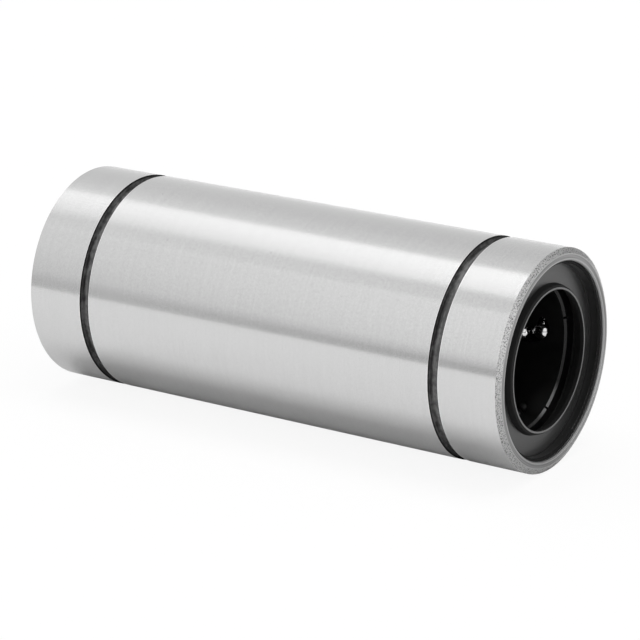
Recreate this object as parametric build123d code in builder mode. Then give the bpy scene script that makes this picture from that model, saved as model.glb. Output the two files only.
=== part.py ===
from build123d import *
from math import cos, hypot, pi, radians, sin
import os

# Long sealed linear ball bearing for a round shaft, as it comes apart on a bench: a hardened steel
# sleeve, two moulded ball retainers in tandem, five ball circuits in each, two retaining rings and
# two end seals.
# The shaft axis is X and Z is up. The origin is the centre of the bearing. The front half is the +X
# half. The rear half holds the same pieces, turned end for end about the Y axis.
# Radii are measured from the shaft axis, and "at" values are distances from the centre along X. In
# the front half, angles round the shaft run from +Y towards +Z.

# Shaft and sleeve
shaft_radius = 10.0
sleeve_radius = 16.0
sleeve_length = 80.0
end_chamfer_length = 0.5
end_chamfer_depth = 0.8
mouth_chamfer = 0.15

# Grooves for the housing's snap rings
groove_span = 61.0
groove_width = 1.6
groove_floor_radius = 15.25

# Balls and circuits
ball_diameter = 3.175
circuit_count = 5
row_balls = 7
turn_balls = 2
turn_radius = 2.28
circuit_outer_wall = 2.0
first_row_angle = -4.0

# Tracks in the sleeve
land_clearance = 0.02
land_width = 4.6
land_overrun = 0.5
relief_radius = 14.2

# Retainers
retainer_length = 36.0
retainer_bore_radius = 10.4
retainer_outer_radius = 13.05
retainer_bore_chamfer = 0.3
channel_clearance = 0.06
flange_radius = 14.05
flange_thickness = 0.9
rib_radius = 14.0
rib_width = 5.0
rib_angle = 46.0
rib_end_gap = 1.2
rib_corner = 0.4
gate_notch_angles = (16.0, -60.0)
gate_notch_width = 0.4
gate_notch_depth = 0.35

# Retaining rings, each in a groove that is wider and deeper than its ring
ring_thickness = 0.8
ring_inner_radius = 12.6
ring_outer_radius = 14.65
ring_opening = 7.0
ring_opening_angle = -90.0
ring_corner = 0.3
ring_groove_width = 0.9
ring_groove_radius = 14.75

# End seals
seal_back_at = 36.95
seal_rim_at = 39.5
seal_rim_thickness = 0.45
seal_face_at = 38.0
cup_corner_round = 0.2
lip_front_at = 39.06
lip_land_length = 0.5
lip_edge_round = 0.05
lip_ring_width = 0.3
lip_bevel = 0.25
lip_root_thickness = 0.8
lip_back_flare = 0.55
insert_thickness = 0.4
insert_bore_radius = 11.0
insert_rim_length = 0.5

# Worked out from the driving dimensions
ball_radius = ball_diameter / 2
pitch_radius = shaft_radius + ball_radius
land_radius = pitch_radius + ball_radius + land_clearance
ball_pitch = pi * turn_radius / turn_balls
straight_length = row_balls * ball_pitch
channel_radius = ball_radius + channel_clearance
straight_end_at = retainer_length - circuit_outer_wall - channel_radius - turn_radius
straight_start_at = straight_end_at - straight_length
circuit_centre_at = straight_end_at - straight_length / 2
return_radius = hypot(pitch_radius, 2 * turn_radius)
channel_top_radius = return_radius + channel_radius
circuit_angle = 360 / circuit_count
relief_slope = relief_radius - land_radius
land_start_at = straight_start_at - land_overrun
land_end_at = straight_end_at + land_overrun
groove_outer_at = groove_span / 2
groove_inner_at = groove_outer_at - groove_width
sleeve_end_at = sleeve_length / 2
seal_rim_bore_radius = relief_radius - seal_rim_thickness
insert_front_at = seal_back_at + insert_thickness

os.makedirs("parts", exist_ok=True)


def write_piece(piece, name):
    """Labels a finished piece and writes it to its own file."""
    piece.part.label = name
    export_step(piece.part, f"parts/{name}.step")


def circuit_plane(side, number):
    """The flat plane of one ball circuit, square to the radius of its loaded row.

    Its origin is midway between the two rows, its x direction runs along the rows away from the
    middle of the bearing, and the loaded row lies on its +y side.
    """
    angle = radians(first_row_angle + circuit_angle * (number - 1))
    turned = 1 if side == "front" else -1
    radial = Vector(0, cos(angle), turned * sin(angle))
    across = Vector(0, -sin(angle), turned * cos(angle))
    centre = Vector(turned * circuit_centre_at, 0, 0) + radial * pitch_radius + across * turn_radius
    return Plane(origin=centre, x_dir=(turned, 0, 0), z_dir=radial)


# Outer sleeve: ground outside with a chamfer at each end and two snap-ring grooves, bored with a
# seat at each end, and relieved there and in the middle, where the balls turn without load
with BuildPart() as outer_sleeve:
    with BuildSketch(Plane.XY):
        with BuildLine():
            Polyline(
                (0, relief_radius),
                (land_start_at - relief_slope, relief_radius),
                (land_start_at, land_radius),
                (land_end_at, land_radius),
                (land_end_at + relief_slope, relief_radius),
                (retainer_length, relief_radius),
                (retainer_length, ring_groove_radius),
                (retainer_length + ring_groove_width, ring_groove_radius),
                (retainer_length + ring_groove_width, relief_radius),
                (sleeve_end_at - mouth_chamfer, relief_radius),
                (sleeve_end_at, relief_radius + mouth_chamfer),
                (sleeve_end_at, sleeve_radius - end_chamfer_depth),
                (sleeve_end_at - end_chamfer_length, sleeve_radius),
                (groove_outer_at, sleeve_radius),
                (groove_outer_at, groove_floor_radius),
                (groove_inner_at, groove_floor_radius),
                (groove_inner_at, sleeve_radius),
                (0, sleeve_radius),
            )
            mirror(about=Plane.YZ)
        make_face()
    revolve(axis=Axis.X)
    # Broached channels over the return rows, which leave five ground lands over the loaded rows
    for first_at, row_angle in (
        (land_start_at - relief_slope, first_row_angle),
        (-land_end_at - relief_slope, -first_row_angle),
    ):
        with BuildSketch(Plane.YZ.offset(first_at)):
            Circle(relief_radius)
            with PolarLocations(relief_radius, circuit_count, start_angle=row_angle):
                Rectangle(2 * relief_slope, land_width, mode=Mode.SUBTRACT)
            Circle(land_radius - relief_slope, mode=Mode.SUBTRACT)
        extrude(amount=land_end_at - land_start_at + 2 * relief_slope, mode=Mode.SUBTRACT)
write_piece(outer_sleeve, "outer_sleeve")


# Space of one ball circuit: a racetrack with a half-round floor, open to the outside
with BuildPart() as ball_channel:
    with BuildSketch(Plane.YZ.offset(straight_end_at)) as loaded_section:
        with Locations((pitch_radius, 0)):
            Circle(channel_radius)
            Rectangle(channel_top_radius - pitch_radius, 2 * channel_radius, align=(Align.MIN, Align.CENTER))
    with BuildSketch(Plane.YZ.offset(straight_end_at)) as both_sections:
        add(loaded_section.sketch_local)
        with Locations((0, 2 * turn_radius)):
            add(loaded_section.sketch_local)
    extrude(to_extrude=both_sections.sketch, amount=-straight_length)
    outer_turn_axis = Axis((straight_end_at, 0, turn_radius), (0, 1, 0))
    revolve(loaded_section.sketch, axis=outer_turn_axis, revolution_arc=-180)
    inner_turn_axis = Axis((straight_start_at, 0, turn_radius), (0, 1, 0))
    inner_section = loaded_section.sketch.moved(Location((-straight_length, 0, 0)))
    revolve(inner_section, axis=inner_turn_axis, revolution_arc=180)


# Front retainer: a moulded tube with an end flange and five locating ribs, cut through by the
# circuits. The loaded rows break into the bore, and the return rows keep a thin floor under them.
with BuildPart() as retainer_front:
    with BuildSketch(Plane.XY):
        with BuildLine():
            Polyline(
                (0, retainer_bore_radius + retainer_bore_chamfer),
                (retainer_bore_chamfer, retainer_bore_radius),
                (retainer_length - retainer_bore_chamfer, retainer_bore_radius),
                (retainer_length, retainer_bore_radius + retainer_bore_chamfer),
                (retainer_length, flange_radius),
                (retainer_length - flange_thickness, flange_radius),
                (retainer_length - flange_thickness, retainer_outer_radius),
                (0, retainer_outer_radius),
                close=True,
            )
        make_face()
    revolve(axis=Axis.X)
    # Ribs that sit in the sleeve's broached channels and stop the retainer from turning
    with BuildSketch(Plane.YZ.offset(rib_end_gap)):
        with PolarLocations(retainer_outer_radius, circuit_count, start_angle=first_row_angle + rib_angle):
            RectangleRounded(2 * (rib_radius - retainer_outer_radius + rib_corner), rib_width, rib_corner)
        Circle(rib_radius, mode=Mode.INTERSECT)
    extrude(amount=retainer_length - flange_thickness - rib_end_gap)
    for number in range(circuit_count):
        channel_angle = first_row_angle + number * circuit_angle
        add(ball_channel.part, rotation=(channel_angle, 0, 0), mode=Mode.SUBTRACT)
    # Gate notches in the outer end of the bore
    with BuildSketch(Plane.YZ.offset(retainer_length)):
        for angle in gate_notch_angles:
            with PolarLocations(retainer_bore_radius, 1, start_angle=angle):
                Rectangle(4 * retainer_bore_chamfer, gate_notch_width)
    extrude(amount=-gate_notch_depth, mode=Mode.SUBTRACT)
write_piece(retainer_front, "retainer_front")


# Front retaining ring: an open spring ring that holds the retainer's flange
with BuildPart() as retaining_ring_front:
    with BuildSketch(Plane.YZ.offset(retainer_length)):
        Circle(ring_outer_radius)
        Circle(ring_inner_radius, mode=Mode.SUBTRACT)
        with PolarLocations(ring_inner_radius, 1, start_angle=ring_opening_angle):
            Rectangle(ring_outer_radius, ring_opening, mode=Mode.SUBTRACT)
    extrude(amount=ring_thickness)
    fillet(retaining_ring_front.edges().filter_by(Axis.X), ring_corner)
write_piece(retaining_ring_front, "retaining_ring_front")


# Front seal insert: the steel ring that stiffens the seal, turned out at its rim
with BuildPart() as seal_insert_front:
    with BuildSketch(Plane.XY):
        with BuildLine():
            Polyline(
                (seal_back_at, insert_bore_radius),
                (seal_back_at, seal_rim_bore_radius),
                (insert_front_at + insert_rim_length, seal_rim_bore_radius),
                (insert_front_at + insert_rim_length, seal_rim_bore_radius - insert_thickness),
                (insert_front_at, seal_rim_bore_radius - insert_thickness),
                (insert_front_at, insert_bore_radius),
                close=True,
            )
        make_face()
    revolve(axis=Axis.X)
write_piece(seal_insert_front, "seal_insert_front")


# Front seal lip: rubber moulded round the insert, with a cup wall against the sleeve, a flat web and
# a raised lip ring whose short land wipes the shaft
with BuildPart() as seal_lip_front:
    with BuildSketch(Plane.XY) as seal_section:
        with BuildLine():
            Polyline(
                (seal_back_at, relief_radius),
                (seal_rim_at, relief_radius),
                (seal_rim_at, seal_rim_bore_radius),
                (seal_face_at, seal_rim_bore_radius),
                (seal_face_at, shaft_radius + lip_root_thickness),
                (lip_front_at - lip_bevel, shaft_radius + lip_ring_width + lip_bevel),
                (lip_front_at, shaft_radius + lip_ring_width),
                (lip_front_at, shaft_radius + lip_edge_round),
                (lip_front_at - lip_edge_round, shaft_radius),
                (lip_front_at - lip_edge_round - lip_land_length, shaft_radius),
                (insert_front_at, shaft_radius + lip_back_flare),
                (insert_front_at, seal_rim_bore_radius - insert_thickness),
                (insert_front_at + insert_rim_length, seal_rim_bore_radius - insert_thickness),
                (insert_front_at + insert_rim_length, seal_rim_bore_radius),
                (seal_back_at, seal_rim_bore_radius),
                close=True,
            )
        make_face()
        wall_corners = seal_section.vertices().filter_by_position(
            Axis.Y, seal_rim_bore_radius - lip_edge_round, seal_rim_bore_radius + lip_edge_round
        )
        fillet(wall_corners.sort_by(Axis.X)[-2:], cup_corner_round)
    revolve(axis=Axis.X)
write_piece(seal_lip_front, "seal_lip_front")


# Rear half: the same four pieces, turned end for end
rear_pieces = {
    "retainer_rear": retainer_front,
    "retaining_ring_rear": retaining_ring_front,
    "seal_insert_rear": seal_insert_front,
    "seal_lip_rear": seal_lip_front,
}
for name, front_piece in rear_pieces.items():
    with BuildPart() as rear_piece:
        add(front_piece.part, rotation=(0, 180, 0))
    write_piece(rear_piece, name)


# Balls of the ten circuits. Each circuit has a loaded row under the land, a return row behind it
# and a turn at either end, and each of these four groups moves as one
row_half_length = (row_balls - 1) * ball_pitch / 2
turn_spread = turn_radius * sin(pi / (2 * turn_balls))
row_places = [-row_half_length + ball * ball_pitch for ball in range(row_balls)]
turn_places = [(straight_length / 2 + turn_spread, offset) for offset in (-turn_spread, turn_spread)]
group_places = {
    "load_balls": [(x, turn_radius) for x in row_places],
    "return_balls": [(x, -turn_radius) for x in row_places],
    "outer_turn_balls": turn_places,
    "inner_turn_balls": [(-x, y) for x, y in turn_places],
}
for side in ("front", "rear"):
    for number in range(1, circuit_count + 1):
        for group, places in group_places.items():
            with BuildPart(circuit_plane(side, number)) as ball_group:
                with Locations(*places):
                    Sphere(ball_radius)
            write_piece(ball_group, f"{side}_{group}_{number}")
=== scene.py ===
"""Looks of a long sealed linear ball bearing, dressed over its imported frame.

Lengths are in metres in the frame's own axes, unless a name ends in mm. X runs along the shaft axis
towards the end that the camera sees, Z is up and the origin is the centre of the bearing.
"""

import logging
import math
from collections.abc import Callable
from dataclasses import dataclass
from enum import Enum
from typing import Any

import bpy
from mathutils import Matrix, Vector

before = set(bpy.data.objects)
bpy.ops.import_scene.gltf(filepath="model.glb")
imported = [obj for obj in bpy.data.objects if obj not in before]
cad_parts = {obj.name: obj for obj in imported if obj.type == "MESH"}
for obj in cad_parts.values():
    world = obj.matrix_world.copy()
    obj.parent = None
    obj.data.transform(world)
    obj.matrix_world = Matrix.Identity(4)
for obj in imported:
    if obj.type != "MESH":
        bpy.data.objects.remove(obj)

LOG = logging.getLogger("linear_bearing")
MM_PER_M = 1000.0
HALF_TURN = 180.0  # degrees
CIRCUITS_PER_HALF = 5

NodeTree = bpy.types.NodeTree
Socket = bpy.types.NodeSocket

# A mix node of colours: its setting, and the places of its colour sockets
COLOUR_MIX = {"data_type": "RGBA"}
MIX_SHARE, MIX_FIRST, MIX_SECOND, MIX_RESULT = 0, 6, 7, 2


# Colours, nodes and coordinates


def linear_rgb(hex_colour: str) -> tuple[float, float, float, float]:
    """Turns an sRGB hex colour to linear RGBA, by the curve of the sRGB standard.

    Args:
        hex_colour: The colour as "#RRGGBB".

    Returns:
        Red, green and blue as linear values, and an alpha of 1.
    """
    channels = [int(hex_colour[i : i + 2], 16) / 255 for i in (1, 3, 5)]
    red, green, blue = (c / 12.92 if c <= 0.04045 else ((c + 0.055) / 1.055) ** 2.4 for c in channels)
    return red, green, blue, 1.0


def add_node(
    tree: NodeTree,
    kind: str,
    settings: dict[str, Any] | None = None,
    inputs: dict[str | int, Any] | None = None,
) -> bpy.types.Node:
    """Adds a node to a tree, with its settings and links.

    Args:
        tree: The tree that gets the node.
        kind: The node's Blender type.
        settings: Values of the node's own attributes.
        inputs: For each input that is set, its value or the socket that feeds it.

    Returns:
        The new node.
    """
    node = tree.nodes.new(kind)
    for name, value in (settings or {}).items():
        setattr(node, name, value)
    for key, value in (inputs or {}).items():
        if isinstance(value, Socket):
            tree.links.new(value, node.inputs[key])
        else:
            node.inputs[key].default_value = value
    return node


@dataclass(frozen=True)
class ShaftPlace:
    """Sockets that give a surface point's place about the shaft axis, in millimetres."""

    point: Socket
    along: Socket
    off_axis: Socket
    y: Socket
    z: Socket

    @classmethod
    def of(cls, tree: NodeTree) -> "ShaftPlace":
        """Adds the nodes that work out the place of each surface point.

        Args:
            tree: The material's node tree.

        Returns:
            The point itself, its distance along the shaft and off the axis, and its Y and Z.
        """
        place = add_node(tree, "ShaderNodeTexCoord").outputs["Object"]
        point = add_node(
            tree, "ShaderNodeVectorMath", {"operation": "SCALE"}, {"Vector": place, "Scale": MM_PER_M}
        ).outputs["Vector"]
        parts = add_node(tree, "ShaderNodeSeparateXYZ", inputs={"Vector": point}).outputs
        across = add_node(tree, "ShaderNodeCombineXYZ", inputs={"Y": parts["Y"], "Z": parts["Z"]})
        length = add_node(
            tree, "ShaderNodeVectorMath", {"operation": "LENGTH"}, {"Vector": across.outputs["Vector"]}
        )
        return cls(point, parts["X"], length.outputs["Value"], parts["Y"], parts["Z"])


# Marks that more than one finish carries


@dataclass(frozen=True)
class TurningLines:
    """Lines that a wheel or a tool leaves round the shaft axis on a turning piece."""

    spacing_mm: float
    run_mm: float

    def height(self, tree: NodeTree, place: ShaftPlace, across: Socket) -> Socket:
        """Adds the lines as noise that is drawn out round the axis.

        Args:
            tree: The material's node tree.
            place: The surface point's place about the shaft.
            across: The distance that the lines follow one another along.

        Returns:
            The socket of the lines' height, from 0 to 1.
        """
        sizes = ((across, self.spacing_mm), (place.y, self.run_mm), (place.z, self.run_mm))
        drawn_out = [
            add_node(tree, "ShaderNodeMath", {"operation": "DIVIDE"}, {0: distance, 1: size_mm}).outputs[0]
            for distance, size_mm in sizes
        ]
        point = add_node(tree, "ShaderNodeCombineXYZ", inputs=dict(enumerate(drawn_out))).outputs[0]
        return add_node(tree, "ShaderNodeTexNoise", inputs={"Vector": point, "Scale": 1.0}).outputs["Fac"]


@dataclass(frozen=True)
class Specks:
    """Round specks scattered over a surface, such as pits or talc."""

    spacing_mm: float
    width_mm: float

    def share(self, tree: NodeTree, place: ShaftPlace) -> Socket:
        """Adds the specks.

        Args:
            tree: The material's node tree.
            place: The surface point's place about the shaft.

        Returns:
            The socket of their share, 1 on a speck and 0 between them.
        """
        cells = add_node(
            tree, "ShaderNodeTexVoronoi", inputs={"Vector": place.point, "Scale": 1 / self.spacing_mm}
        )
        reach = self.width_mm / 2 / self.spacing_mm  # of a speck, in cells
        return add_node(
            tree,
            "ShaderNodeMapRange",
            inputs={
                "Value": cells.outputs["Distance"],
                "From Min": reach / 2,
                "From Max": reach,
                "To Min": 1.0,
                "To Max": 0.0,
            },
        ).outputs["Result"]


@dataclass(frozen=True)
class Patch:
    """A small area round one point of the surface, for a mark that handling left and for a painted
    highlight.
    """

    centre_mm: tuple[float, float, float]
    reach_mm: float

    def share(self, tree: NodeTree, place: ShaftPlace) -> Socket:
        """Adds the patch.

        Args:
            tree: The material's node tree.
            place: The surface point's place about the shaft.

        Returns:
            The socket of its share, 1 in the middle and 0 beyond its reach.
        """
        gap = add_node(
            tree, "ShaderNodeVectorMath", {"operation": "DISTANCE"}, {0: place.point, 1: self.centre_mm}
        )
        return add_node(
            tree,
            "ShaderNodeMapRange",
            {"interpolation_type": "SMOOTHSTEP"},
            {"Value": gap.outputs["Value"], "From Min": self.reach_mm, "From Max": self.reach_mm / 3},
        ).outputs["Result"]


@dataclass(frozen=True)
class PaintedEdgeHighlights:
    """Thin lines round the shaft at its edges, painted lighter: the painted highlight of a broken edge."""

    at_mm: tuple[float, ...]
    width_mm: float

    def share(self, tree: NodeTree, across: Socket) -> Socket:
        """Adds the painted highlight lines.

        Args:
            tree: The material's node tree.
            across: The distance that the edges are placed along, alike at both ends of the bearing.

        Returns:
            The socket of their share, 1 at an edge and 0 beyond its width.
        """
        place = add_node(tree, "ShaderNodeMath", {"operation": "ABSOLUTE"}, {0: across}).outputs[0]
        nearest = None
        for edge in self.at_mm:
            gap = add_node(tree, "ShaderNodeMath", {"operation": "SUBTRACT"}, {0: place, 1: edge})
            gap = add_node(tree, "ShaderNodeMath", {"operation": "ABSOLUTE"}, {0: gap.outputs[0]})
            if nearest is not None:
                gaps = {0: nearest, 1: gap.outputs[0]}
                gap = add_node(tree, "ShaderNodeMath", {"operation": "MINIMUM"}, gaps)
            nearest = gap.outputs[0]
        return add_node(
            tree,
            "ShaderNodeMapRange",
            inputs={
                "Value": nearest,
                "From Min": self.width_mm / 2,
                "From Max": self.width_mm,
                "To Min": 1.0,
                "To Max": 0.0,
            },
        ).outputs["Result"]


# What every finish shares


@dataclass(frozen=True)
class Pattern:
    """Heights of a finish's pattern, each from 0 to 1, which its colour, roughness and relief follow."""

    colour: Socket
    roughness: Socket
    relief: Socket

    @classmethod
    def alike(cls, height: Socket) -> "Pattern":
        """Gives the pattern that all three follow alike."""
        return cls(height, height, height)


@dataclass(frozen=True)
class Finish:
    """A surface finish, which becomes one material: a pattern in two colours, with marks over it.

    The colour turns to the pattern's own colour between the two colour heights. The roughness changes
    by the first to the second roughness change between the two roughness heights.
    """

    name: str
    colour: str
    pattern_colour: str
    roughness: float
    colour_heights: tuple[float, float] = (0.0, 1.0)
    roughness_change: tuple[float, float] = (0.0, 0.0)
    roughness_heights: tuple[float, float] = (0.3, 0.7)
    relief_strength: float = 0.0
    relief_mm: float = 0.0

    def material(self) -> bpy.types.Material:
        """Builds the finish's material, or gives the one built before.

        Returns:
            The material.
        """
        known = bpy.data.materials.get(self.name)
        if known is not None:
            return known
        material = bpy.data.materials.new(self.name)
        material.use_nodes = True
        tree = material.node_tree
        tree.nodes.clear()
        place = ShaftPlace.of(tree)
        pattern = self.pattern(tree, place)
        inputs = {
            "Base Color": self.coat(tree, place, pattern),
            "Roughness": self.dulling(tree, pattern),
            **self.substance(tree),
        }
        if self.relief_strength:
            relief = {
                "Strength": self.relief_strength,
                "Distance": self.relief_mm / MM_PER_M,
                "Height": pattern.relief,
            }
            inputs["Normal"] = add_node(tree, "ShaderNodeBump", inputs=relief).outputs[0]
        shader = add_node(tree, "ShaderNodeBsdfPrincipled", inputs=inputs)
        add_node(tree, "ShaderNodeOutputMaterial", inputs={"Surface": shader.outputs[0]})
        return material

    def pattern(self, tree: NodeTree, place: ShaftPlace) -> Pattern:
        """Adds the finish's own pattern."""
        raise NotImplementedError

    def marks(self, tree: NodeTree, place: ShaftPlace) -> list[tuple[Socket, str]]:
        """Adds the marks over the pattern, where there are any, and gives each one's share and colour."""
        return []

    def substance(self, tree: NodeTree) -> dict[str, Any]:
        """Gives the shader's inputs that tell metal from other materials."""
        raise NotImplementedError

    def coat(self, tree: NodeTree, place: ShaftPlace, pattern: Pattern) -> Socket:
        """Adds the colour of the surface, with its pattern and the marks over it.

        Args:
            tree: The material's node tree.
            place: The surface point's place about the shaft.
            pattern: The finish's pattern.

        Returns:
            The socket of the colour.
        """
        low, high = self.colour_heights
        share = add_node(
            tree, "ShaderNodeMapRange", inputs={"Value": pattern.colour, "From Min": low, "From Max": high}
        ).outputs["Result"]
        under: Socket | tuple[float, ...] = linear_rgb(self.colour)
        for layer, colour in [(share, self.pattern_colour), *self.marks(tree, place)]:
            colours = {MIX_SHARE: layer, MIX_FIRST: under, MIX_SECOND: linear_rgb(colour)}
            under = add_node(tree, "ShaderNodeMix", COLOUR_MIX, colours).outputs[MIX_RESULT]
        return under

    def dulling(self, tree: NodeTree, pattern: Pattern) -> Socket | float:
        """Gives the roughness, and adds its change where there is one.

        Args:
            tree: The material's node tree.
            pattern: The finish's pattern.

        Returns:
            The roughness, or the socket of it where it changes.
        """
        if not any(self.roughness_change):
            return self.roughness
        low, high = self.roughness_heights
        at_low, at_high = self.roughness_change
        return add_node(
            tree,
            "ShaderNodeMapRange",
            inputs={
                "Value": pattern.roughness,
                "From Min": low,
                "From Max": high,
                "To Min": self.roughness + at_low,
                "To Max": self.roughness + at_high,
            },
        ).outputs["Result"]


@dataclass(frozen=True)
class BareMetal(Finish):
    """A finish of bare metal."""

    def substance(self, tree: NodeTree) -> dict[str, Any]:
        """Gives the shader's inputs for metal."""
        return {"Metallic": 1.0}


@dataclass(frozen=True)
class LinedMetal(BareMetal):
    """A finish of bare metal whose lines round the axis draw a highlight out across them."""

    anisotropy: float = 0.0
    across_lines: float = 0.25  # turns from the lines to the way that the highlight is drawn out

    def substance(self, tree: NodeTree) -> dict[str, Any]:
        """Gives the shader's inputs for lined metal.

        Args:
            tree: The material's node tree.

        Returns:
            The inputs and their values.
        """
        tangent = add_node(tree, "ShaderNodeTangent", {"direction_type": "RADIAL", "axis": "X"})
        return {
            **super().substance(tree),
            "Anisotropic": self.anisotropy,
            "Anisotropic Rotation": self.across_lines,
            "Tangent": tangent.outputs[0],
        }


@dataclass(frozen=True)
class NonMetal(Finish):
    """A finish that shows no bare metal: resin, rubber, or steel under its scale or coat."""

    index: float = 1.5

    def substance(self, tree: NodeTree) -> dict[str, Any]:
        """Gives the shader's inputs for a surface that isn't metal."""
        return {"IOR": self.index}


# Finishes of the sleeve


@dataclass(frozen=True)
class GroundBearingSteel(LinedMetal):
    """High-carbon chromium bearing steel, hardened and centreless ground.

    The wheel leaves lines round the sleeve that are almost too fine to see. A reflection stays crisp
    round the sleeve and is drawn out along it, each edge carries a thin painted highlight line, and
    handling has left a few dark pin-points.
    """

    name: str = "ground_bearing_steel"
    colour: str = "#D9D9D9"
    pattern_colour: str = "#C3C3C3"
    roughness: float = 0.2
    relief_strength: float = 0.033
    relief_mm: float = 0.02
    anisotropy: float = 0.9
    lines: TurningLines = TurningLines(0.3, 9.0)  # really about 0.02 mm apart, drawn coarser to show
    grain_mm: float = 0.28  # the grit's cuts are about 0.05 mm, drawn coarser to show
    grain_share: float = 0.7  # of the pattern, where the rest is lines
    pits: Specks = Specks(3.4, 0.2)
    nick: Patch = Patch((34.6, -9.2, -13.1), 0.45)
    pit_colour: str = "#6E6E6E"
    pit_strength: float = 0.6
    # painted highlight: a near-white line painted along each groove edge
    edges: PaintedEdgeHighlights = PaintedEdgeHighlights((28.9, 30.5), 0.09)
    painted_highlight_colour: str = "#F2F2F2"

    def pattern(self, tree: NodeTree, place: ShaftPlace) -> Pattern:
        """Adds the wheel's lines, mixed with the grit's grain.

        Args:
            tree: The material's node tree.
            place: The surface point's place about the shaft.

        Returns:
            The pattern.
        """
        lines = self.lines.height(tree, place, place.along)
        noise = {"Vector": place.point, "Scale": 1 / self.grain_mm}
        grain = add_node(tree, "ShaderNodeTexNoise", inputs=noise).outputs["Fac"]
        change = add_node(tree, "ShaderNodeMath", {"operation": "SUBTRACT"}, {0: grain, 1: lines})
        terms = {0: change.outputs[0], 1: self.grain_share, 2: lines}
        mixed = add_node(tree, "ShaderNodeMath", {"operation": "MULTIPLY_ADD"}, terms)
        return Pattern.alike(mixed.outputs[0])

    def marks(self, tree: NodeTree, place: ShaftPlace) -> list[tuple[Socket, str]]:
        """Adds the pits, the nick and the painted highlight lines along the edges.

        Args:
            tree: The material's node tree.
            place: The surface point's place about the shaft.

        Returns:
            The share and the colour of each mark.
        """
        shares = {0: self.pits.share(tree, place), 1: self.nick.share(tree, place)}
        dark = add_node(tree, "ShaderNodeMath", {"operation": "MAXIMUM"}, shares).outputs[0]
        strength = {0: dark, 1: self.pit_strength}
        pitting = add_node(tree, "ShaderNodeMath", {"operation": "MULTIPLY"}, strength).outputs[0]
        return [(pitting, self.pit_colour), (self.edges.share(tree, place.along), self.painted_highlight_colour)]


@dataclass(frozen=True)
class FacedBearingSteel(LinedMetal):
    """Bearing steel faced in a lathe before hardening, and left so on the end faces.

    The tool leaves concentric lines, which brighten the face on two opposite sides like a fan, and
    hardening dulls the metal, with a painted highlight line along each of its two edges.
    """

    name: str = "faced_bearing_steel"
    colour: str = "#9C9C9C"
    pattern_colour: str = "#747474"
    colour_heights: tuple[float, float] = (0.35, 0.65)
    roughness: float = 0.42
    relief_strength: float = 0.5
    relief_mm: float = 0.03
    anisotropy: float = 0.8
    lines: TurningLines = TurningLines(0.16, 14.0)  # the feed is about 0.1 mm a turn, drawn coarser to show
    # painted highlight: a lighter line painted along the face's outer and inner edges
    edges: PaintedEdgeHighlights = PaintedEdgeHighlights((14.35, 15.2), 0.2)
    painted_highlight_colour: str = "#AEAEAE"

    def pattern(self, tree: NodeTree, place: ShaftPlace) -> Pattern:
        """Adds the tool's lines."""
        return Pattern.alike(self.lines.height(tree, place, place.off_axis))

    def marks(self, tree: NodeTree, place: ShaftPlace) -> list[tuple[Socket, str]]:
        """Adds the painted highlight lines along the edges."""
        return [(self.edges.share(tree, place.off_axis), self.painted_highlight_colour)]


@dataclass(frozen=True)
class TumbledBearingSteel(BareMetal):
    """Bearing steel turned to a chamfer and tumbled in stones, which peen it.

    The dents throw the light about, so that the chamfer is a bright, coarsely speckled grey.
    """

    name: str = "tumbled_bearing_steel"
    colour: str = "#B4B4B4"
    pattern_colour: str = "#4A4A4A"
    colour_heights: tuple[float, float] = (0.46, 0.66)
    roughness: float = 0.4
    relief_strength: float = 0.9
    relief_mm: float = 0.06
    dent_mm: float = 0.16  # the dents are about 0.1 mm, drawn coarser to show
    dent_raggedness: float = 0.6

    def pattern(self, tree: NodeTree, place: ShaftPlace) -> Pattern:
        """Adds the dents."""
        noise = {"Vector": place.point, "Scale": 1 / self.dent_mm, "Roughness": self.dent_raggedness}
        return Pattern.alike(add_node(tree, "ShaderNodeTexNoise", inputs=noise).outputs["Fac"])


@dataclass(frozen=True)
class BoredBearingSteel(BareMetal):
    """Bearing steel bored to a seal seat with a fine feed: a bright satin with rings across its light."""

    name: str = "bored_bearing_steel"
    colour: str = "#A0A0A0"
    pattern_colour: str = "#848484"
    roughness: float = 0.5
    relief_strength: float = 0.6
    relief_mm: float = 0.03
    lines: TurningLines = TurningLines(0.12, 12.0)  # the feed is about 0.05 mm a turn, drawn coarser to show

    def pattern(self, tree: NodeTree, place: ShaftPlace) -> Pattern:
        """Adds the tool's lines."""
        return Pattern.alike(self.lines.height(tree, place, place.along))


@dataclass(frozen=True)
class ScaledBearingSteel(NonMetal):
    """Bearing steel under the black oxide scale of its hardening, which no wheel has touched.

    It is a dark satin grey, with the tool's lines and a patchy bloom.
    """

    name: str = "scaled_bearing_steel"
    colour: str = "#202020"
    pattern_colour: str = "#606060"
    colour_heights: tuple[float, float] = (0.2, 0.32)
    roughness: float = 0.4
    roughness_change: tuple[float, float] = (-0.06, 0.1)
    relief_strength: float = 0.6
    relief_mm: float = 0.04
    index: float = 1.85
    lines: TurningLines = TurningLines(0.45, 5.0)  # really about 0.1 mm apart, drawn coarser to show
    bloom_mm: float = 0.7
    bloom_detail: float = 4.0

    def pattern(self, tree: NodeTree, place: ShaftPlace) -> Pattern:
        """Adds the tool's lines and the bloom, which colours the scale where both are high.

        Args:
            tree: The material's node tree.
            place: The surface point's place about the shaft.

        Returns:
            The pattern.
        """
        lines = self.lines.height(tree, place, place.along)
        noise = {"Vector": place.point, "Scale": 1 / self.bloom_mm, "Detail": self.bloom_detail}
        bloom = add_node(tree, "ShaderNodeTexNoise", inputs=noise).outputs["Fac"]
        both = add_node(tree, "ShaderNodeMath", {"operation": "MULTIPLY"}, {0: lines, 1: bloom})
        return Pattern(both.outputs[0], bloom, lines)


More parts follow.
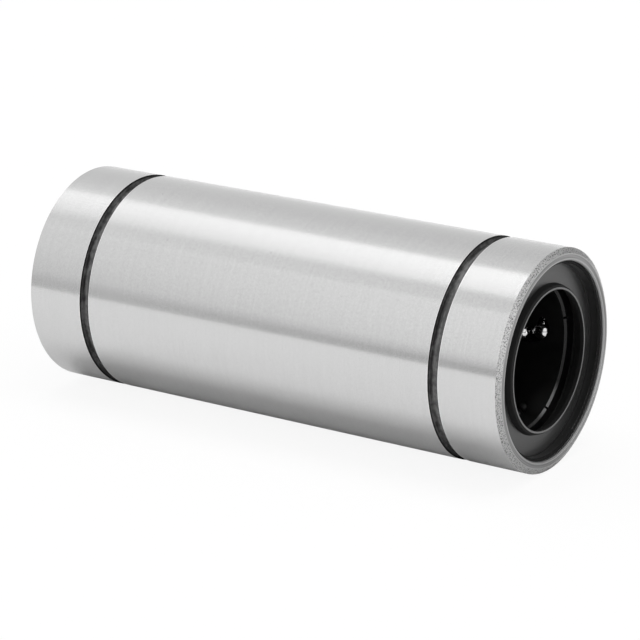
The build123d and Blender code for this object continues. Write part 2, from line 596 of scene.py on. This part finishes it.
@dataclass(frozen=True)
class DarkBandWallSteel(ScaledBearingSteel):
    """Bearing steel on the walls of a groove, under the scale of its hardening.

    Its colour goes near black from the wall's outer edge down, and stays grey next to the floor.
    """

    name: str = "sooted_bearing_steel"
    colour: str = "#4C4C4C"
    pattern_colour: str = "#747474"
    roughness: float = 0.6
    index: float = 1.4
    # the wall's colour goes near black towards its outer edge
    dark_band_from_mm: tuple[float, float] = (15.55, 15.8)
    dark_band_colour: str = "#0A0A0A"

    def marks(self, tree: NodeTree, place: ShaftPlace) -> list[tuple[Socket, str]]:
        """Adds the near-black band along the wall's outer edge.

        Args:
            tree: The material's node tree.
            place: The surface point's place about the shaft.

        Returns:
            The share and the colour of the near-black band.
        """
        start, full = self.dark_band_from_mm
        depth = {"Value": place.off_axis, "From Min": start, "From Max": full}
        return [(add_node(tree, "ShaderNodeMapRange", inputs=depth).outputs["Result"], self.dark_band_colour)]


# Finishes of the balls, the retainers and the rings


@dataclass(frozen=True)
class LappedBallSteel(BareMetal):
    """Chromium ball steel, lapped to a mirror: small sharp glints, softened where oil has smeared."""

    name: str = "lapped_ball_steel"
    colour: str = "#DCDCDC"
    pattern_colour: str = "#C4C4C4"
    colour_heights: tuple[float, float] = (0.45, 0.75)
    roughness: float = 0.05
    roughness_change: tuple[float, float] = (0.0, 0.1)
    roughness_heights: tuple[float, float] = (0.45, 0.8)
    smear_mm: float = 1.1

    def pattern(self, tree: NodeTree, place: ShaftPlace) -> Pattern:
        """Adds the smeared oil."""
        noise = {"Vector": place.point, "Scale": 1 / self.smear_mm}
        return Pattern.alike(add_node(tree, "ShaderNodeTexNoise", inputs=noise).outputs["Fac"])


@dataclass(frozen=True)
class PaintedShadeBallSteel(LappedBallSteel):
    """Lapped ball steel painted dark and made rough: painted shade on the lowest circuits, so every glint
    dulls to a smear.
    """

    name: str = "painted_shade_ball_steel"
    colour: str = "#4A4A4A"
    pattern_colour: str = "#2C2C2C"
    roughness: float = 0.3
    roughness_change: tuple[float, float] = (0.0, 0.6)


@dataclass(frozen=True)
class MouldedRetainerResin(NonMetal):
    """Black acetal resin, injection moulded in a smooth tool: a deep satin black with flow marks."""

    name: str = "moulded_retainer_resin"
    colour: str = "#070707"
    pattern_colour: str = "#0E0E0E"
    colour_heights: tuple[float, float] = (0.4, 0.7)
    roughness: float = 0.36
    roughness_change: tuple[float, float] = (0.0, 0.08)
    relief_strength: float = 0.25
    relief_mm: float = 0.01
    index: float = 1.48
    flow_mm: float = 2.4
    grain_mm: float = 0.12  # the tool's grain is about 0.03 mm, drawn coarser to show
    painted_sheen: Patch = Patch((35.85, 6.0, -8.6), 3.8)  # painted highlight: a paler patch round the mouth of the bore, brightening its edge's line
    painted_sheen_colour: str = "#1C1C1C"

    def pattern(self, tree: NodeTree, place: ShaftPlace) -> Pattern:
        """Adds the flow marks, and the tool's grain in the relief.

        Args:
            tree: The material's node tree.
            place: The surface point's place about the shaft.

        Returns:
            The pattern.
        """
        flow_noise = {"Vector": place.point, "Scale": 1 / self.flow_mm}
        flow = add_node(tree, "ShaderNodeTexNoise", inputs=flow_noise).outputs["Fac"]
        grain_noise = {"Vector": place.point, "Scale": 1 / self.grain_mm}
        grain = add_node(tree, "ShaderNodeTexNoise", inputs=grain_noise).outputs["Fac"]
        return Pattern(flow, flow, grain)

    def marks(self, tree: NodeTree, place: ShaftPlace) -> list[tuple[Socket, str]]:
        """Adds the painted sheen patch, a painted highlight."""
        return [(self.painted_sheen.share(tree, place), self.painted_sheen_colour)]


@dataclass(frozen=True)
class PolishedRetainerResin(MouldedRetainerResin):
    """Black acetal resin from the polished edge of the tool, glossy enough to show the lamps as a line."""

    name: str = "polished_retainer_resin"
    roughness: float = 0.22
    index: float = 1.37
    # painted highlight: the patch is painted much paler on the polished edge
    painted_sheen_colour: str = "#7E7E7E"


@dataclass(frozen=True)
class PhosphatedSpringSteel(NonMetal):
    """Spring steel, blanked and manganese phosphated: a dark grey crystal coat that drinks light."""

    name: str = "phosphated_spring_steel"
    colour: str = "#373737"
    pattern_colour: str = "#4B4B4B"
    colour_heights: tuple[float, float] = (0.4, 0.65)
    roughness: float = 0.55
    relief_strength: float = 0.4
    relief_mm: float = 0.01
    index: float = 1.6
    crystal_mm: float = 0.08  # the crystals are about 0.02 mm, drawn coarser to show

    def pattern(self, tree: NodeTree, place: ShaftPlace) -> Pattern:
        """Adds the crystals."""
        noise = {"Vector": place.point, "Scale": 1 / self.crystal_mm}
        return Pattern.alike(add_node(tree, "ShaderNodeTexNoise", inputs=noise).outputs["Fac"])


@dataclass(frozen=True)
class PressedInsertSteel(BareMetal):
    """Cold-rolled low-carbon steel, pressed to a ring and dipped in the primer that rubber bonds to.

    The thin film leaves it a smoky dark grey, with the rolling marks still showing.
    """

    name: str = "pressed_insert_steel"
    colour: str = "#585858"
    pattern_colour: str = "#464646"
    colour_heights: tuple[float, float] = (0.4, 0.7)
    roughness: float = 0.38
    roughness_change: tuple[float, float] = (0.0, 0.1)
    rolling_mm: float = 0.5
    rolling_detail: float = 4.0

    def pattern(self, tree: NodeTree, place: ShaftPlace) -> Pattern:
        """Adds the rolling marks."""
        noise = {"Vector": place.point, "Scale": 1 / self.rolling_mm, "Detail": self.rolling_detail}
        return Pattern.alike(add_node(tree, "ShaderNodeTexNoise", inputs=noise).outputs["Fac"])


# Finishes of the seals


@dataclass(frozen=True)
class MouldedSealRubber(NonMetal):
    """Nitrile rubber, compression moulded on the insert in a turned and polished tool.

    The tool's turning lines print on it as faint rings, its gloss mirrors the room like dark glass,
    and a little talc stays on it as pale specks.
    """

    name: str = "moulded_seal_rubber"
    colour: str = "#181818"
    pattern_colour: str = "#282828"
    colour_heights: tuple[float, float] = (0.4, 0.65)
    roughness: float = 0.32
    roughness_change: tuple[float, float] = (-0.04, 0.06)
    relief_strength: float = 0.3
    relief_mm: float = 0.02
    index: float = 1.6
    rings: TurningLines = TurningLines(0.22, 20.0)  # the feed is about 0.1 mm a turn, drawn coarser to show
    talc: Specks = Specks(1.2, 0.12)
    talc_colour: str = "#8C8C8C"
    talc_strength: float = 0.7

    def pattern(self, tree: NodeTree, place: ShaftPlace) -> Pattern:
        """Adds the printed rings, on the faces and on the walls alike."""
        reach = add_node(tree, "ShaderNodeMath", {"operation": "ADD"}, {0: place.off_axis, 1: place.along})
        return Pattern.alike(self.rings.height(tree, place, reach.outputs[0]))

    def marks(self, tree: NodeTree, place: ShaftPlace) -> list[tuple[Socket, str]]:
        """Adds the talc.

        Args:
            tree: The material's node tree.
            place: The surface point's place about the shaft.

        Returns:
            The share and the colour of the talc.
        """
        strength = {0: self.talc.share(tree, place), 1: self.talc_strength}
        dust = add_node(tree, "ShaderNodeMath", {"operation": "MULTIPLY"}, strength)
        return [(dust.outputs[0], self.talc_colour)]


@dataclass(frozen=True)
class TrimmedSealRubber(NonMetal):
    """Nitrile rubber where its flash was trimmed off: torn fine and matt, without any gloss."""

    name: str = "trimmed_seal_rubber"
    colour: str = "#101010"
    pattern_colour: str = "#1C1C1C"
    roughness: float = 0.9
    relief_strength: float = 0.6
    relief_mm: float = 0.03
    index: float = 1.25
    tear_mm: float = 0.15  # the tears are about 0.05 mm, drawn coarser to show

    def pattern(self, tree: NodeTree, place: ShaftPlace) -> Pattern:
        """Adds the tears."""
        noise = {"Vector": place.point, "Scale": 1 / self.tear_mm}
        return Pattern.alike(add_node(tree, "ShaderNodeTexNoise", inputs=noise).outputs["Fac"])


@dataclass(frozen=True)
class LipEdgeHighlightRubber(TrimmedSealRubber):
    """Nitrile rubber where the lip's edge was cut to size, painted pale grey: a painted highlight ring."""

    name: str = "cut_lip_rubber"
    colour: str = "#656565"
    pattern_colour: str = "#767676"
    roughness: float = 0.7


@dataclass(frozen=True)
class ShadedLipRubber(TrimmedSealRubber):
    """Nitrile rubber on the lip's walls and in the cup's corner, darker and less glossy: painted shade
    there.
    """

    name: str = "oiled_lip_rubber"
    colour: str = "#121212"
    pattern_colour: str = "#1A1A1A"
    roughness: float = 0.7
    index: float = 1.36


# Pieces of the bearing


class Side(Enum):
    """The two halves of the bearing."""

    FRONT = "front"
    REAR = "rear"


class SleeveRegion(Enum):
    """The surfaces of the sleeve, each with the work that finished it."""

    GROUND = GroundBearingSteel()
    FACED = FacedBearingSteel()
    TUMBLED = TumbledBearingSteel()
    BORED = BoredBearingSteel()
    SCALED = ScaledBearingSteel()
    SOOTED = DarkBandWallSteel()


class RetainerRegion(Enum):
    """The surfaces of a retainer: as moulded, and the edge of its bore."""

    MOULDED = MouldedRetainerResin()
    POLISHED = PolishedRetainerResin()


class SealRegion(Enum):
    """The surfaces of a seal's rubber."""

    MOULDED = MouldedSealRubber()
    TRIMMED = TrimmedSealRubber()
    CUT = LipEdgeHighlightRubber()
    OILED = ShadedLipRubber()


@dataclass(frozen=True)
class FacePlace:
    """Where a face of a mesh lies about the shaft, in millimetres, and how far it faces along it."""

    along_mm: float
    off_axis_mm: float
    end_facing: float

    @classmethod
    def of(cls, face: bpy.types.MeshPolygon) -> "FacePlace":
        """Reads a face's place, alike at both ends of the bearing.

        Args:
            face: The face of the mesh.

        Returns:
            Its place.
        """
        along = abs(face.center.x) * MM_PER_M
        off_axis = math.hypot(face.center.y, face.center.z) * MM_PER_M
        return cls(along, off_axis, abs(face.normal.x))


@dataclass(frozen=True)
class OuterSleeve:
    """The sleeve, whose surfaces were finished in six ways."""

    node: str = "outer_sleeve"
    half_length_mm: float = 40.0
    radius_mm: float = 16.0
    face_radius_mm: float = 15.2
    face_depth_mm: float = 0.5
    mouth_radius_mm: float = 14.36
    mouth_depth_mm: float = 3.0
    land_radius_mm: float = 13.195
    groove_floor_radius_mm: float = 15.25
    tolerance_mm: float = 0.06
    wall_facing: float = 0.1  # a round wall faces the ends by less

    def dress(self) -> None:
        """Gives each face of the sleeve the finish of its region."""
        put_on_regions(self.node, SleeveRegion, self.region_of)

    def region_of(self, place: FacePlace) -> SleeveRegion:
        """Finds the region that a face belongs to.

        Args:
            place: The place of the face on the sleeve.

        Returns:
            The face's region.
        """
        from_end = self.half_length_mm - place.along_mm
        round_wall = place.end_facing < self.wall_facing
        if round_wall and place.off_axis_mm > self.radius_mm - self.tolerance_mm:
            return SleeveRegion.GROUND
        if from_end < self.face_depth_mm and place.off_axis_mm > self.face_radius_mm:
            return SleeveRegion.TUMBLED
        if from_end < self.mouth_depth_mm and place.off_axis_mm < self.mouth_radius_mm:
            return SleeveRegion.BORED
        if from_end < self.face_depth_mm:
            return SleeveRegion.FACED
        if round_wall and abs(place.off_axis_mm - self.land_radius_mm) < self.tolerance_mm:
            return SleeveRegion.GROUND
        if not round_wall and place.off_axis_mm > self.groove_floor_radius_mm:
            return SleeveRegion.SOOTED
        return SleeveRegion.SCALED


@dataclass(frozen=True)
class BallRetainer:
    """The moulded retainer of one half, with a polished chamfer at the mouth of its bore."""

    side: Side
    mouth_at_mm: float = 36.0
    chamfer_mm: float = 0.3
    bore_radius_mm: float = 10.4
    tolerance_mm: float = 0.06
    chamfer_facing: tuple[float, float] = (0.5, 0.9)  # least and most that a chamfer faces the ends

    def dress(self) -> None:
        """Gives each face of the retainer its resin."""
        put_on_regions(f"retainer_{self.side.value}", RetainerRegion, self.region_of)

    def region_of(self, place: FacePlace) -> RetainerRegion:
        """Finds the region that a face belongs to.

        Args:
            place: The place of the face on the retainer.

        Returns:
            The face's region.
        """
        at_mouth = self.mouth_at_mm - self.chamfer_mm - self.tolerance_mm < place.along_mm
        at_edge = place.off_axis_mm < self.bore_radius_mm + self.chamfer_mm
        least, most = self.chamfer_facing
        if at_mouth and at_edge and least < place.end_facing < most:
            return RetainerRegion.POLISHED
        return RetainerRegion.MOULDED


@dataclass(frozen=True)
class RetainingRing:
    """The spring ring behind one seal."""

    side: Side

    def dress(self) -> None:
        """Gives the ring its phosphate coat."""
        put_on(f"retaining_ring_{self.side.value}", PhosphatedSpringSteel())


@dataclass(frozen=True)
class EndSeal:
    """The seal in one end: rubber moulded on a steel insert, with a trimmed rim and a cut lip."""

    side: Side
    rim_at_mm: float = 39.5
    rim_radius_mm: float = 13.755
    web_at_mm: float = 38.0
    corner_radius_mm: float = 13.55
    corner_mm: float = 0.2
    lip_at_mm: float = 39.06
    lip_root_radius_mm: float = 10.8
    edge_mm: float = 0.2
    tolerance_mm: float = 0.06
    flat_facing: float = 0.98  # a flat face faces the ends by more

    def dress(self) -> None:
        """Gives the insert its steel, and each face of the rubber the finish of its region."""
        put_on(f"seal_insert_{self.side.value}", PressedInsertSteel())
        put_on_regions(f"seal_lip_{self.side.value}", SealRegion, self.region_of)

    def region_of(self, place: FacePlace) -> SealRegion:
        """Finds the region of the rubber that a face belongs to.

        Args:
            place: The place of the face on the seal.

        Returns:
            The face's region.
        """
        if place.off_axis_mm > self.rim_radius_mm and place.along_mm > self.rim_at_mm - self.edge_mm:
            return SealRegion.TRIMMED
        flat = place.end_facing > self.flat_facing
        if place.off_axis_mm < self.lip_root_radius_mm:
            cut = flat and place.along_mm > self.lip_at_mm - self.tolerance_mm
            # painted highlight on the lip's flat cut face, painted shade on the lip's walls
            return SealRegion.CUT if cut else SealRegion.OILED
        # painted shade in the cup's corner
        in_corner = place.off_axis_mm > self.corner_radius_mm and place.end_facing < self.flat_facing
        if in_corner and self.web_at_mm < place.along_mm < self.web_at_mm + self.corner_mm:
            return SealRegion.OILED
        return SealRegion.MOULDED


@dataclass(frozen=True)
class BallCircuit:
    """One circuit of balls, in the four groups that move as one each."""

    side: Side
    number: int
    groups: tuple[str, ...] = ("load_balls", "return_balls", "outer_turn_balls", "inner_turn_balls")
    first_row_degrees: float = -4.0
    step_degrees: float = 2 * HALF_TURN / CIRCUITS_PER_HALF
    painted_shade_level: float = -0.5  # of the rows' radius, up from the axis

    @property
    def lies_in_painted_shade(self) -> bool:
        """Whether the circuit is so low round the shaft that its balls get the painted shade.

        Returns:
            True for a circuit in painted shade.
        """
        angle = math.radians(self.first_row_degrees + self.step_degrees * (self.number - 1))
        height = math.sin(angle) if self.side is Side.FRONT else -math.sin(angle)
        return height < self.painted_shade_level

    def dress(self) -> None:
        """Gives every ball its lapped steel, bare or darkened as painted shade."""
        # painted shade: the lowest circuits get the dark ball steel
        finish = PaintedShadeBallSteel() if self.lies_in_painted_shade else LappedBallSteel()
        for group in self.groups:
            put_on(f"{self.side.value}_{group}_{self.number}", finish)


def put_on(node: str, finish: Finish) -> None:
    """Dresses a whole node of the frame in one finish.

    Args:
        node: The node's name.
        finish: The finish.
    """
    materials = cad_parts[node].data.materials
    materials.clear()
    materials.append(finish.material())
    LOG.info("%s dressed in %s", node, finish.name)


def put_on_regions(node: str, regions: type[Enum], region_of: Callable[[FacePlace], Enum]) -> None:
    """Dresses each face of a node in the finish of its region.

    Args:
        node: The node's name.
        regions: The regions, whose values are finishes.
        region_of: Gives the region of a face's place.
    """
    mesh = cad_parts[node].data
    order = list(regions)
    mesh.materials.clear()
    for region in order:
        mesh.materials.append(region.value.material())
    faces = [0] * len(order)
    for face in mesh.polygons:
        face.material_index = order.index(region_of(FacePlace.of(face)))
        faces[face.material_index] += 1
    counts = ", ".join(f"{count} faces {region.name.lower()}" for region, count in zip(order, faces))
    LOG.info("%s dressed in regions: %s", node, counts)


# Studio


@dataclass(frozen=True)
class PaleSheet:
    """A matt white sheet under the bearing, which keeps the bearing's soft shadow."""

    height: float = -0.016
    front: float = -0.235  # Y of the front edge where X is 0
    slant: float = -1.0  # of the front edge, Y over X
    back: float = 1.6
    half_width: float = 1.6
    colour: str = "#FAFAFA"
    own_white: float = 0.9  # the share that the camera sees as plain white

    def build(self) -> None:
        """Lays the sheet."""
        corners = [
            (-self.half_width, self.front - self.half_width * self.slant, self.height),
            (self.half_width, self.front + self.half_width * self.slant, self.height),
            (self.half_width, self.back, self.height),
            (-self.half_width, self.back, self.height),
        ]
        mesh = bpy.data.meshes.new("pale_sheet")
        mesh.from_pydata(corners, [], [(0, 1, 2, 3)])
        sheet = bpy.data.objects.new("pale_sheet", mesh)
        bpy.context.scene.collection.objects.link(sheet)
        mesh.materials.append(self.material())
        LOG.info("pale sheet laid")

    def material(self) -> bpy.types.Material:
        """Builds the sheet's paper: matt in every ray, and paler where the camera sees it directly.

        Returns:
            The paper's material.
        """
        material = bpy.data.materials.new("pale_paper")
        material.use_nodes = True
        tree = material.node_tree
        tree.nodes.clear()
        paper = add_node(tree, "ShaderNodeBsdfDiffuse", inputs={"Color": linear_rgb(self.colour)}).outputs[0]
        white = add_node(tree, "ShaderNodeEmission", inputs={"Strength": 1.0}).outputs[0]
        layers = {0: self.own_white, 1: paper, 2: white}
        pale = add_node(tree, "ShaderNodeMixShader", inputs=layers).outputs[0]
        seen = add_node(tree, "ShaderNodeLightPath").outputs["Is Camera Ray"]
        surface = add_node(tree, "ShaderNodeMixShader", inputs={0: seen, 1: paper, 2: pale}).outputs[0]
        add_node(tree, "ShaderNodeOutputMaterial", inputs={"Surface": surface})
        return material


@dataclass(frozen=True)
class SoftBox:
    """A soft box in the room, as the range of directions that it fills and its level of light.

    The first range is the direction's X, and the second its turn round the X axis, in degrees from
    straight up towards the front. A range that goes past 1 or past half a turn has no edge there.
    """

    along: tuple[float, float]
    turn: tuple[float, float]
    level: float
    along_edge: float = 0.08
    turn_edge: tuple[float, float] = (4.0, 4.0)

    def share(self, tree: NodeTree, along: Socket, turn: Socket) -> Socket:
        """Adds the box's share of a direction.

        Args:
            tree: The world's node tree.
            along: The direction's X.
            turn: Its turn round the X axis, in degrees.

        Returns:
            The socket of the share, 1 inside the box and 0 outside.
        """
        edges = (
            (along, self.along[0] - self.along_edge, self.along[0]),
            (along, self.along[1] + self.along_edge, self.along[1]),
            (turn, self.turn[0] - self.turn_edge[0], self.turn[0]),
            (turn, self.turn[1] + self.turn_edge[1], self.turn[1]),
        )
        share = None
        for value, start, full in edges:
            step = add_node(
                tree,
                "ShaderNodeMapRange",
                {"interpolation_type": "SMOOTHSTEP"},
                {"Value": value, "From Min": start, "From Max": full},
            ).outputs[0]
            if share is not None:
                both = {0: share, 1: step}
                step = add_node(tree, "ShaderNodeMath", {"operation": "MULTIPLY"}, both).outputs[0]
            share = step
        return share


@dataclass(frozen=True)
class SoftRoom:
    """The room round the bearing: pale walls, a long soft box overhead and a dim gap at the horizon.

    Each level is the light from one direction round the X axis, in degrees from straight up towards
    the front, where 1 is white. The boxes stand before the walls, and a later one before an earlier one.
    """

    levels: tuple[tuple[float, float], ...] = (
        (-180.0, 0.9),
        (-112.0, 1.1),
        (-93.0, 1.04),
        (-84.0, 0.885),
        (-76.0, 0.85),
        (-60.0, 0.83),
        (-44.0, 0.865),
        (-28.0, 0.995),
        (-22.8, 0.985),
        (-20.8, 1.035),
        (-18.8, 1.19),
        (-16.8, 1.41),
        (-14.8, 1.48),
        (-12.8, 1.4),
        (-8.8, 1.335),
        (-4.8, 1.31),
        (-0.8, 1.265),
        (3.2, 1.21),
        (7.2, 1.17),
        (11.2, 1.175),
        (15.2, 1.09),
        (19.2, 1.01),
        (23.0, 1.095),
        (30.0, 1.06),
        (34.0, 0.745),
        (51.0, 0.72),
        (71.0, 0.565),
        (76.0, 0.48),
        (83.0, 0.68),
        (91.0, 0.79),
        (180.0, 0.8),
    )
    boxes: tuple[SoftBox, ...] = (
        SoftBox((-0.1, 1.2), (33.0, 76.0), 1.4, along_edge=0.9, turn_edge=(3.0, 15.0)),
        SoftBox((-0.44, 1.2), (-24.0, -17.0), 0.97, along_edge=0.1, turn_edge=(3.0, 2.0)),
        SoftBox((-0.38, 1.2), (90.0, 97.0), 0.45, along_edge=0.2, turn_edge=(3.0, 3.0)),
        SoftBox((-0.1, 1.2), (-200.0, 30.0), 0.3, along_edge=0.38, turn_edge=(4.0, 3.0)),
        SoftBox((0.45, 1.2), (-85.0, -20.0), 1.1, along_edge=0.1, turn_edge=(6.0, 6.0)),
        SoftBox((-0.1, 1.2), (30.0, 200.0), 0.25, along_edge=0.1, turn_edge=(3.0, 4.0)),
        SoftBox((-1.2, -0.84), (-200.0, 200.0), 0.2, along_edge=0.12),
        SoftBox((-0.2, 0.3), (-12.0, 14.0), 4.75),
        SoftBox((0.955, 1.2), (-90.0, 90.0), 3.2, along_edge=0.03),
        SoftBox((0.5, 0.82), (-30.0, 2.0), 1.2),
        SoftBox((0.45, 0.84), (34.0, 80.0), 1.0),
    )
    colour: str = "#FFFFFF"

    def build(self) -> None:
        """Makes the world: white where the camera sees it directly, and the room for every other ray."""
        world = bpy.data.worlds.new("soft_room")
        bpy.context.scene.world = world
        world.use_nodes = True
        tree = world.node_tree
        tree.nodes.clear()
        way = add_node(tree, "ShaderNodeTexCoord").outputs["Generated"]
        along, back, up = add_node(tree, "ShaderNodeSeparateXYZ", inputs={0: way}).outputs
        front = add_node(tree, "ShaderNodeMath", {"operation": "MULTIPLY"}, {0: back, 1: -1.0}).outputs[0]
        angle = add_node(tree, "ShaderNodeMath", {"operation": "ARCTAN2"}, {0: front, 1: up}).outputs[0]
        turn = add_node(tree, "ShaderNodeMath", {"operation": "DEGREES"}, {0: angle}).outputs[0]
        light = self.walls(tree, turn)
        for box in self.boxes:
            levels = {0: box.share(tree, along, turn), 2: light, 3: box.level}
            light = add_node(tree, "ShaderNodeMix", {"data_type": "FLOAT"}, levels).outputs[0]
        colour = linear_rgb(self.colour)
        room, white = (
            add_node(tree, "ShaderNodeBackground", inputs={"Color": colour, "Strength": strength}).outputs[0]
            for strength in (light, 1.0)
        )
        seen = add_node(tree, "ShaderNodeLightPath").outputs["Is Camera Ray"]
        surface = add_node(tree, "ShaderNodeMixShader", inputs={0: seen, 1: room, 2: white}).outputs[0]
        add_node(tree, "ShaderNodeOutputWorld", inputs={"Surface": surface})
        LOG.info("soft room lit with %d levels and %d soft boxes", len(self.levels), len(self.boxes))

    def walls(self, tree: NodeTree, turn: Socket) -> Socket:
        """Adds the light of the room's walls and its long overhead box.

        Args:
            tree: The world's node tree.
            turn: The direction's turn round the X axis, in degrees.

        Returns:
            The socket of the level of light.
        """
        whole = {"Value": turn, "From Min": -HALF_TURN, "From Max": HALF_TURN}
        share = add_node(tree, "ShaderNodeMapRange", inputs=whole).outputs[0]
        ramp = add_node(tree, "ShaderNodeValToRGB", inputs={0: share})
        brightest = max(level for _, level in self.levels)
        stops = ramp.color_ramp.elements
        while len(stops) < len(self.levels):
            stops.new(0.5)  # moved to its own place below
        for stop, (degrees, level) in zip(stops, self.levels):
            stop.position = (degrees + HALF_TURN) / (2 * HALF_TURN)
            stop.color = (*(level / brightest,) * 3, 1.0)
        levels = {0: ramp.outputs[0], 1: brightest}
        return add_node(tree, "ShaderNodeMath", {"operation": "MULTIPLY"}, levels).outputs[0]


@dataclass(frozen=True)
class ProductCamera:
    """The camera, at the place and angle that the photo was taken from."""

    place: tuple[float, float, float] = (0.22257, -0.34088, 0.13124)
    right: tuple[float, float, float] = (0.8386, 0.5448, 0.0)
    up: tuple[float, float, float] = (-0.1683, 0.2591, 0.9511)
    lens_mm: float = 165.41
    sensor_width_mm: float = 36.0

    def build(self) -> None:
        """Makes the camera and gives it to the scene."""
        data = bpy.data.cameras.new("product_camera")
        data.lens = self.lens_mm
        data.sensor_width = self.sensor_width_mm
        camera = bpy.data.objects.new("product_camera", data)
        bpy.context.scene.collection.objects.link(camera)
        right = Vector(self.right).normalized()
        up = Vector(self.up)
        up = (up - right * up.dot(right)).normalized()
        turn = Matrix((right, up, right.cross(up))).transposed()
        camera.matrix_world = Matrix.Translation(self.place) @ turn.to_4x4()
        bpy.context.scene.camera = camera
        LOG.info("camera placed %.0f mm from the bearing", Vector(self.place).length * MM_PER_M)


def main() -> None:
    """Builds the studio and dresses the bearing, piece by piece."""
    logging.basicConfig(level=logging.INFO, format="%(name)s: %(message)s")
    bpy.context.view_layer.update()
    bpy.context.scene.view_settings.view_transform = "Standard"
    ProductCamera().build()
    SoftRoom().build()
    PaleSheet().build()
    OuterSleeve().dress()
    for side in Side:
        BallRetainer(side).dress()
        RetainingRing(side).dress()
        EndSeal(side).dress()
        for number in range(1, CIRCUITS_PER_HALF + 1):
            BallCircuit(side, number).dress()


if __name__ == "__main__":
    main()
